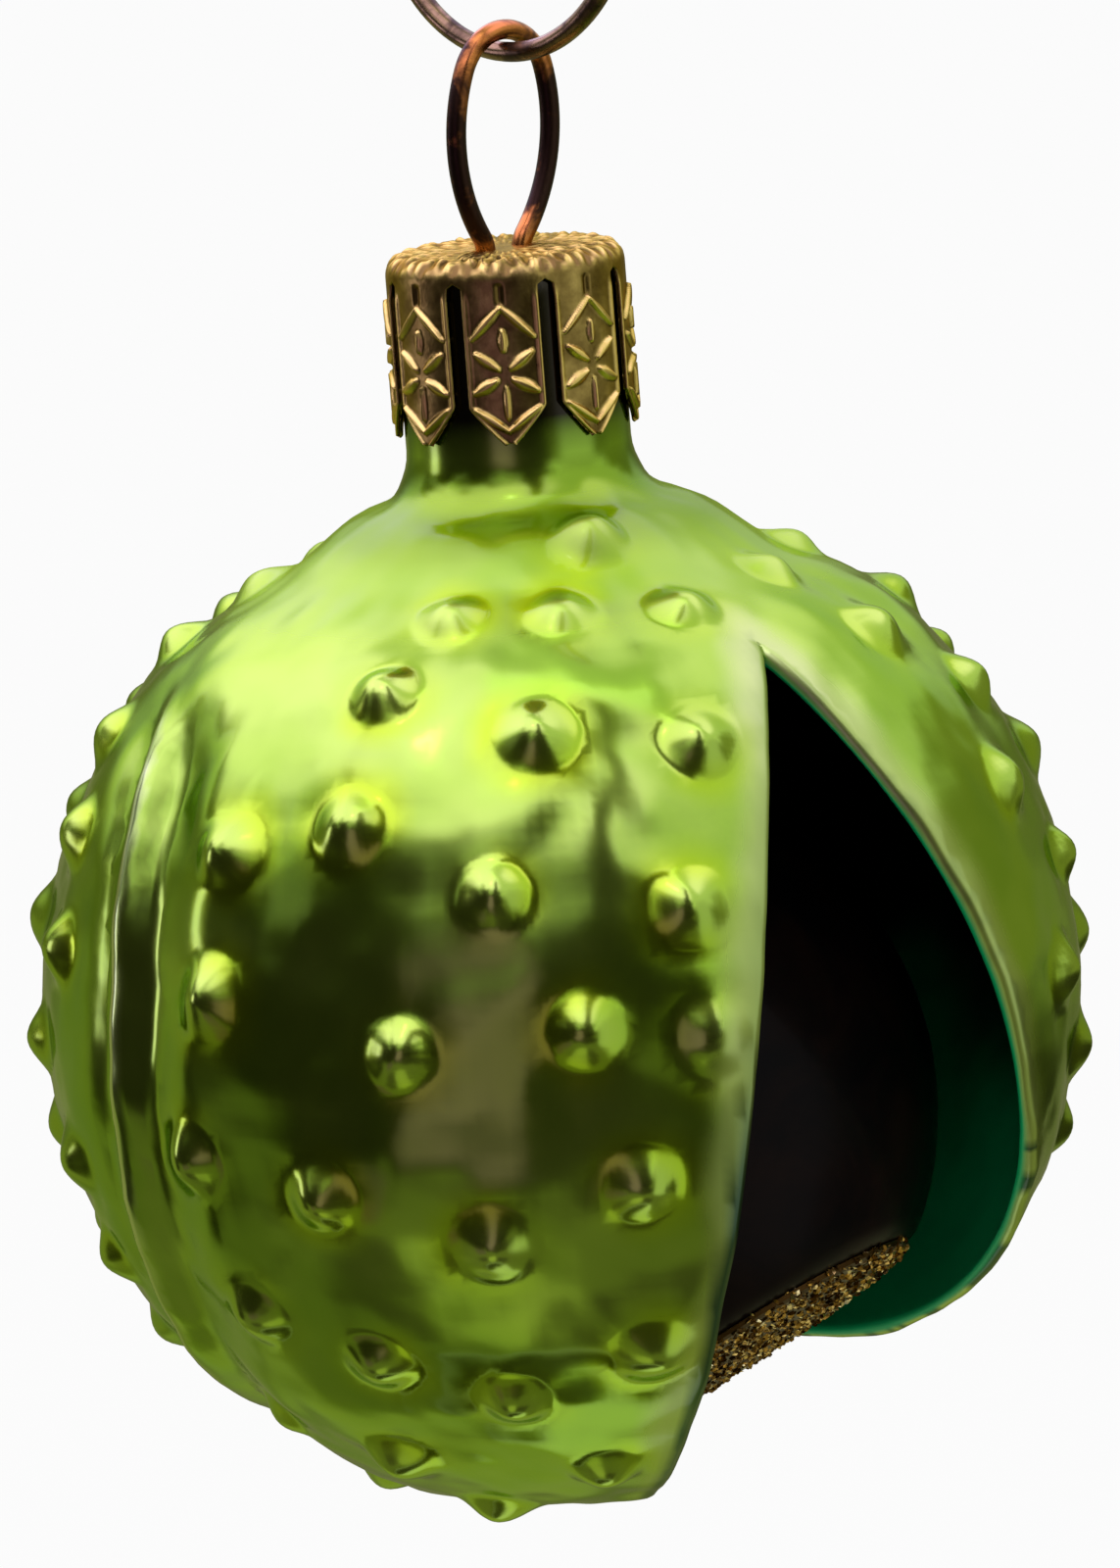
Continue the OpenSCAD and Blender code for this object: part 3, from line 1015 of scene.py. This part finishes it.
def petal_skin():
    """One petal with its share of the cap's top, bent round the neck, stamping raised."""
    flat_r = CAP_R - CAP_CORNER
    top = [(r, 0.0) for r in np.linspace(CAP_MIDDLE, flat_r, TOP_ROWS)][:-1]
    bend = arc(flat_r, -CAP_CORNER, CAP_CORNER, 90, 0, CORNER_ROWS)
    corner = [(x, -z) for x, z in bend][:-1]
    wall = [(CAP_R, z) for z in np.linspace(CAP_CORNER, CAP_HEIGHT, WALL_ROWS)]
    points = []
    relief = []
    for radius, depth in top + corner + wall:
        half = petal_half_width(depth) / CAP_R
        for share in np.linspace(-1, 1, PETAL_COLUMNS + 1):
            turn = share * half
            lift = petal_relief(turn * CAP_R, depth) if depth > CAP_CORNER else 0.0
            lump = crinkle(turn, radius, depth)
            outward = min(depth, 1)
            reach = radius + lift * LEAF_HEIGHT + lump * outward
            height = lump * (1 - outward) - depth
            points.append((reach * math.sin(turn), -reach * math.cos(turn), height))
            relief.append(lift + 4 * lump)
    faces = []
    width = PETAL_COLUMNS + 1
    for row in range(len(points) // width - 1):
        for i in range(PETAL_COLUMNS):
            a = row * width + i
            faces.append((a, a + width, a + width + 1, a + 1))
    mesh = mesh_of("petal", points, faces)
    mark(mesh, "relief", relief)
    return mesh


def petal_tree(material):
    """Copies of one petal round the cap, joined along the top."""
    graph, given = new_tree("petal_ring", {"Count": "Int", "First turn": "Float"})
    spots = graph.add("GeometryNodeMeshLine", None, {"Count": given["Count"], "Offset": (0, 0, 0)})
    index = graph.add("GeometryNodeInputIndex")
    turn = index * (math.tau / PETALS) + given["First turn"]
    rotation = graph.add("ShaderNodeCombineXYZ", None, {"Z": turn})
    laid = {"Points": spots, "Instance": given["Geometry"], "Rotation": rotation}
    ring = graph.add("GeometryNodeInstanceOnPoints", None, laid)
    whole = graph.add("GeometryNodeRealizeInstances", None, {"Geometry": ring})
    joined = graph.add("GeometryNodeMergeByDistance", None, {"Geometry": whole, "Distance": PETAL_MERGE})
    return close_tree(graph, joined, material)


def crown_cap():
    """Stamped sheet cap on the neck."""
    material = stamped_gold()
    sizes = {"Count": PETALS, "First turn": math.radians(CAP_TURN)}
    mesh = grown(petal_skin(), petal_tree(material), sizes)
    bm = bmesh.new()
    bm.from_mesh(mesh)
    bmesh.ops.recalc_face_normals(bm, faces=bm.faces)
    bmesh.ops.solidify(bm, geom=bm.faces, thickness=CAP_SHEET)
    bm.to_mesh(mesh)
    bm.free()
    smooth(mesh)
    piece("crown_cap_gold", mesh, HUNG, material, "hanger", "crown_cap")


def stamped_gold():
    """Pale stamped gold with brown lacquer left in the hollows."""
    material, graph = new_material("stamped_gold")
    place = graph.add("ShaderNodeTexCoord", None, None, "Object")
    relief = graph.attribute("relief")
    patchy = graph.noise(place, 700, 4, 0.6)
    worn = graph.fade(relief + (patchy - 0.5) * 0.6, -0.15, 0.4)
    gold = graph.blend(patchy, paint(200, 174, 84), paint(224, 202, 116))
    colour = graph.blend(worn, paint(108, 90, 44), gold)
    graph.surface({
        "Base Color": colour,
        "Metallic": 1.0,
        "Specular Tint": paint(250, 228, 180),
        "Roughness": 0.22 + 0.16 * patchy,
        "Normal": graph.bump(patchy, 0.25, 0.0002),
    })
    return material


# Hanger and ring

WIRE_SIDES = 20
RING_STEPS = 120
ARCH_STEPS = 16
SIDE_STEPS = 24
FOOT_STEPS = 14
LEG_STEPS = 8
# Heights in metres over which painted shade darkens the wire above the cap, and fades out again below
# the ring
DARK_BELOW = (-0.0265, -0.0235)
DARK_ABOVE = (-0.0195, -0.0165)


def wire_tree(material):
    """Round wire swept along an edge path."""
    graph, given = new_tree("bent_wire", {"Radius": "Float", "Sides": "Int"})
    path = graph.add("GeometryNodeMeshToCurve", None, {"Mesh": given["Geometry"]})
    round_section = {"Resolution": given["Sides"], "Radius": given["Radius"]}
    section = graph.add("GeometryNodeCurvePrimitiveCircle", None, round_section)
    swept = {"Curve": path, "Profile Curve": section, "Fill Caps": True}
    tube = graph.add("GeometryNodeCurveToMesh", None, swept)
    even = graph.add("GeometryNodeSetShadeSmooth", None, {0: tube})
    return close_tree(graph, even, material)


def wire_mesh(path, material):
    """Wire bent along a path of points."""
    mesh = bpy.data.meshes.new("wire_path")
    mesh.from_pydata(path, [(i, i + 1) for i in range(len(path) - 1)], [])
    return grown(mesh, wire_tree(material), {"Radius": WIRE_R, "Sides": WIRE_SIDES})


def hanger_path():
    """Half of the hanger from the top of its arch to the tip of a leg, then its mirror image."""
    arch_z = LOOP_HEIGHT - ARCH_R
    join = math.radians(ARCH_JOIN)
    side_x = (ARCH_R - SIDE_R) * math.cos(join)
    side_z = arch_z + (ARCH_R - SIDE_R) * math.sin(join)
    side_angle = math.degrees(math.asin((side_z - FOOT_TOP) / SIDE_R))
    foot_x = side_x + (SIDE_R + FOOT_R) * math.cos(math.radians(side_angle))
    foot_z = side_z - (SIDE_R + FOOT_R) * math.sin(math.radians(side_angle))
    half = arc(0, arch_z, ARCH_R, 90, ARCH_JOIN, ARCH_STEPS)
    half += arc(side_x, side_z, SIDE_R, ARCH_JOIN, -side_angle, SIDE_STEPS)[1:]
    half += arc(foot_x, foot_z, FOOT_R, 180 - side_angle, 180 + LEG_SPLAY, FOOT_STEPS)[1:]
    leg_x, leg_z = half[-1]
    outward = LEG_REACH - leg_x
    drop = outward / math.tan(math.radians(LEG_SPLAY))
    half += [(leg_x + outward * t, leg_z - drop * t) for t in np.linspace(0, 1, LEG_STEPS + 1)[1:]]
    left = [(-x, z) for x, z in reversed(half[1:])]
    return [(x, 0, z) for x, z in left + half]


def hanger_wire():
    """Sprung wire with its loop above the cap and its legs in the neck."""
    material = tarnished_wire("hanger_copper", paint(190, 122, 60), paint(48, 34, 26))
    mesh = wire_mesh(hanger_path(), material)
    piece("hanger_loop", mesh, HANGER, material, "hanger", "hanger_wire")


def hanging_ring():
    """Ring through the loop, with a butt joint."""
    material = tarnished_wire("ring_bronze", paint(138, 116, 80), paint(64, 52, 40))
    gap = math.degrees(RING_GAP / RING_R)
    start = 90 - RING_GAP_PLACE - gap / 2
    ring = arc(0, WIRE_R - RING_R, RING_R, 90 - start, 90 - start - 360 + gap, RING_STEPS)
    mesh = wire_mesh([(0, y, z) for y, z in ring], material)
    piece("ring_wire", mesh, Matrix.Scale(MM, 4), material, "ring", "hanging_ring")


def tarnished_wire(name, bright, dark):
    """Drawn wire gone dark in patches, with painted shade on the loop between the cap and the ring."""
    material, graph = new_material(name)
    place = graph.add("ShaderNodeTexCoord", None, None, "Object")
    height = graph.add("ShaderNodeSeparateXYZ", None, {0: place}, "Z")
    patchy = graph.noise(place, 420, 4, 0.65, 0.4)
    # Painted shade: the loop darker between the cap and the ring
    between = graph.fade(height, *DARK_BELOW) * (1.0 - graph.fade(height, *DARK_ABOVE))
    tarnish_and_shade = graph.fade(patchy + 0.22 * between, 0.38, 0.66)
    graph.surface({
        "Base Color": graph.blend(tarnish_and_shade, bright, dark),
        "Metallic": 1.0,
        "Roughness": 0.2 + 0.2 * tarnish_and_shade,
        "Normal": graph.bump(patchy, 0.15, 0.0001),
    })
    return material


# Camera, light and floor

CAMERA_TURN = -45.0
CAMERA_RISE = 11.0
CAMERA_AWAY = 0.5
CAMERA_NEAR = 0.01
FRAME_WIDTH = 1143
FRAME_HEIGHT = 1600
PIXELS_PER_MM = 20.35
BALL_PIXEL = (573, 1008)
SENSOR = 36.0
FLOOR_Z = -0.30
FLOOR_HALF = 6.0
SCREEN_COLUMNS = 64
SCREEN_ROWS = 24

# Colours of the floor and of light
FLOOR_GREY = (0.86, 0.86, 0.86, 1)
WHITE = (1, 1, 1, 1)
COOL = (1.22, 1.0, 1.75, 1)
WARM = (1.0, 0.98, 0.5, 1)
BROWN = (1.0, 0.85, 0.7, 1)
MAUVE = (1.0, 0.58, 1.4, 1)
DUSKY = (1.0, 0.6, 1.2, 1)


def camera_axes():
    """Directions toward the camera, to its right and up."""
    back = heading(CAMERA_RISE, CAMERA_TURN)
    right = heading(0, CAMERA_TURN + 90)
    return back, right, back.cross(right)


def camera():
    """Camera at the distance where the ball fills its share of the frame."""
    back, right, up = camera_axes()
    data = bpy.data.cameras.new("camera")
    data.sensor_width = SENSOR
    data.lens = SENSOR * CAMERA_AWAY / MM * PIXELS_PER_MM / FRAME_HEIGHT
    data.clip_start = CAMERA_NEAR
    thing = bpy.data.objects.new("camera", data)
    to_right = (FRAME_WIDTH / 2 - BALL_PIXEL[0]) / PIXELS_PER_MM * MM
    to_top = (BALL_PIXEL[1] - FRAME_HEIGHT / 2) / PIXELS_PER_MM * MM
    aim = BALL_MIDDLE + right * to_right + up * to_top
    place = BALL_MIDDLE + back * CAMERA_AWAY
    away = (place - aim).normalized()
    side = up.cross(away).normalized()
    thing.matrix_world = Matrix((side, away.cross(side), away)).transposed().to_4x4()
    thing.location = place
    bpy.context.scene.collection.objects.link(thing)
    bpy.context.scene.camera = thing


def screen_mesh(name, turn, rise, width, height, soft, away):
    """Part of a ball round the ornament, with its share of cover falling off toward the edges."""
    points = []
    edge = []
    for j in range(SCREEN_ROWS + 1):
        for i in range(SCREEN_COLUMNS + 1):
            across = (2 * i / SCREEN_COLUMNS - 1) * width / 2
            over = (2 * j / SCREEN_ROWS - 1) * height / 2
            way = heading(rise + over, CAMERA_TURN + turn + across)
            points.append(BALL_MIDDLE + way * away)
            inside_x = min((width / 2 - abs(across)) / soft, 1)
            inside_y = min((height / 2 - abs(over)) / soft, 1)
            edge.append(inside_x * inside_y)
    faces = []
    step = SCREEN_COLUMNS + 1
    for j in range(SCREEN_ROWS):
        for i in range(SCREEN_COLUMNS):
            a = j * step + i
            faces.append((a, a + 1, a + step + 1, a + step))
    mesh = mesh_of(name, points, faces)
    mark(mesh, "edge", edge)
    return mesh


def screen(name, turn, rise, width, height, soft, colour, strength, away, uneven=0.0):
    """Soft-edged screen, seen only in reflections. Angles are counted from the camera, in degrees."""
    mesh = screen_mesh(name, turn, rise, width, height, soft, away)
    material, graph = new_material(name)
    clear = graph.add("ShaderNodeBsdfTransparent")
    place = graph.add("ShaderNodeTexCoord", None, None, "Object")
    glow = graph.add("ShaderNodeEmission", None, {"Color": colour, "Strength": strength})
    ragged = (graph.noise(place, 14, 1.0) - 0.5) * uneven
    cover = graph.fade(graph.attribute("edge") + ragged, 0.1, 0.9)
    mixed = graph.add("ShaderNodeMixShader", None, {0: cover, 1: clear, 2: glow})
    graph.add("ShaderNodeOutputMaterial", None, {"Surface": mixed})
    mesh.materials.append(material)
    thing = bpy.data.objects.new(name, mesh)
    bpy.context.scene.collection.objects.link(thing)
    thing.visible_camera = False
    thing.visible_diffuse = False
    thing.visible_shadow = False


def white_light(graph, dim):
    """Strength of a white surround: plain white where it is seen or mirrored, dimmer as a light."""
    path = graph.add("ShaderNodeLightPath", None, None, "Is Camera Ray")
    shown = path.higher_of(path.other("Is Glossy Ray")).higher_of(path.other("Is Transmission Ray"))
    return dim + (1.0 - dim) * shown


def surround():
    """White room round the ornament."""
    world = bpy.data.worlds.new("white_room")
    world.use_nodes = True
    world.node_tree.nodes.clear()
    graph = Graph(world.node_tree)
    values = {"Color": WHITE, "Strength": white_light(graph, 0.75)}
    light = graph.add("ShaderNodeBackground", None, values)
    graph.add("ShaderNodeOutputWorld", None, {"Surface": light})
    bpy.context.scene.world = world


def floor():
    """Plain pale floor far below the ornament."""
    square = ((-1, -1), (1, -1), (1, 1), (-1, 1))
    corners = [(x * FLOOR_HALF, y * FLOOR_HALF, FLOOR_Z) for x, y in square]
    mesh = mesh_of("floor", corners, [(0, 1, 2, 3)])
    material, graph = new_material("floor_paint")
    lit = graph.add("ShaderNodeBsdfDiffuse", None, {"Color": FLOOR_GREY})
    glow = graph.add("ShaderNodeEmission", None, {"Color": WHITE, "Strength": 1.0})
    share = white_light(graph, 0.0) * 0.9
    mixed = graph.add("ShaderNodeMixShader", None, {0: share, 1: lit, 2: glow})
    graph.add("ShaderNodeOutputMaterial", None, {"Surface": mixed})
    mesh.materials.append(material)
    thing = bpy.data.objects.new("floor", mesh)
    bpy.context.scene.collection.objects.link(thing)


def soft_lamp(name, turn, rise, away, size, power):
    """Square lamp that faces the ornament from an angle to the camera."""
    data = bpy.data.lights.new(name, "AREA")
    data.size = size
    data.energy = power
    thing = bpy.data.objects.new(name, data)
    way = heading(rise, CAMERA_TURN + turn)
    thing.location = BALL_MIDDLE + way * away
    thing.rotation_euler = way.to_track_quat("Z", "Y").to_euler()
    bpy.context.scene.collection.objects.link(thing)


def studio():
    """White room with a soft lamp, and the bright and dark screens that the lacquer mirrors."""
    surround()
    floor()
    soft_lamp("overhead_lamp", -40, 70, 0.8, 0.6, 1.6)
    screen("bright_cloth", -50, 60, 200, 68, 28, COOL, 1.8, 0.24)
    screen("left_card", -125, 42, 110, 46, 18, COOL, 2.0, 0.237)
    screen("bright_card", 130, 60, 140, 48, 18, COOL, 1.7, 0.235)
    screen("glint_card", -28, 63, 12, 9, 4, WHITE, 8.0, 0.2)
    screen("dim_room", 0, -47, 404, 146, 22, WARM, 0.22, 0.25)
    screen("side_card", 62, -4, 58, 84, 18, WHITE, 0.75, 0.235)
    screen("left_floor", -128, -26, 90, 66, 24, WARM, 0.36, 0.23, 1.6)
    screen("right_floor", 128, -40, 90, 54, 20, WARM, 0.34, 0.23, 1.0)
    screen("back_floor", 180, -58, 120, 44, 16, WARM, 0.5, 0.228, 1.0)
    screen("right_wall", 118, 4, 64, 60, 20, WARM, 0.34, 0.225, 2.0)
    screen("dark_shelf", -38, 2, 158, 92, 28, BROWN, 0.03, 0.22, 2.0)
    screen("dark_door", 13, 20, 48, 46, 14, BROWN, 0.04, 0.215, 1.2)
    screen("dark_post", 12, 46, 26, 60, 9, BROWN, 0.05, 0.214, 0.8)
    screen("dark_corner", 112, -20, 76, 30, 10, BROWN, 0.05, 0.217, 1.0)
    screen("dark_stool", 12, -20, 52, 40, 14, BROWN, 0.06, 0.2155, 1.0)
    screen("neck_card", -95, 4, 16, 26, 6, COOL, 2.0, 0.218)
    screen("dark_foot", 30, -62, 56, 26, 10, BROWN, 0.08, 0.213, 1.0)
    screen("dark_floor", -58, -54, 40, 20, 9, BROWN, 0.1, 0.214, 1.0)
    screen("pale_floor", -18, -58, 44, 26, 10, WARM, 0.6, 0.216, 2.0)
    screen("brown_table", -18, 0, 38, 60, 18, MAUVE, 0.4, 0.21, 1.6)
    screen("brown_stool", -52, -32, 40, 24, 10, DUSKY, 0.2, 0.212, 1.6)
    screen("dark_below", -40, -80, 220, 30, 12, BROWN, 0.04, 0.205, 0.5)


camera()
studio()
husk()
conker()
conker_scar()
crown_cap()
hanger_wire()
hanging_ring()

bpy.context.scene.view_settings.view_transform = "Standard"
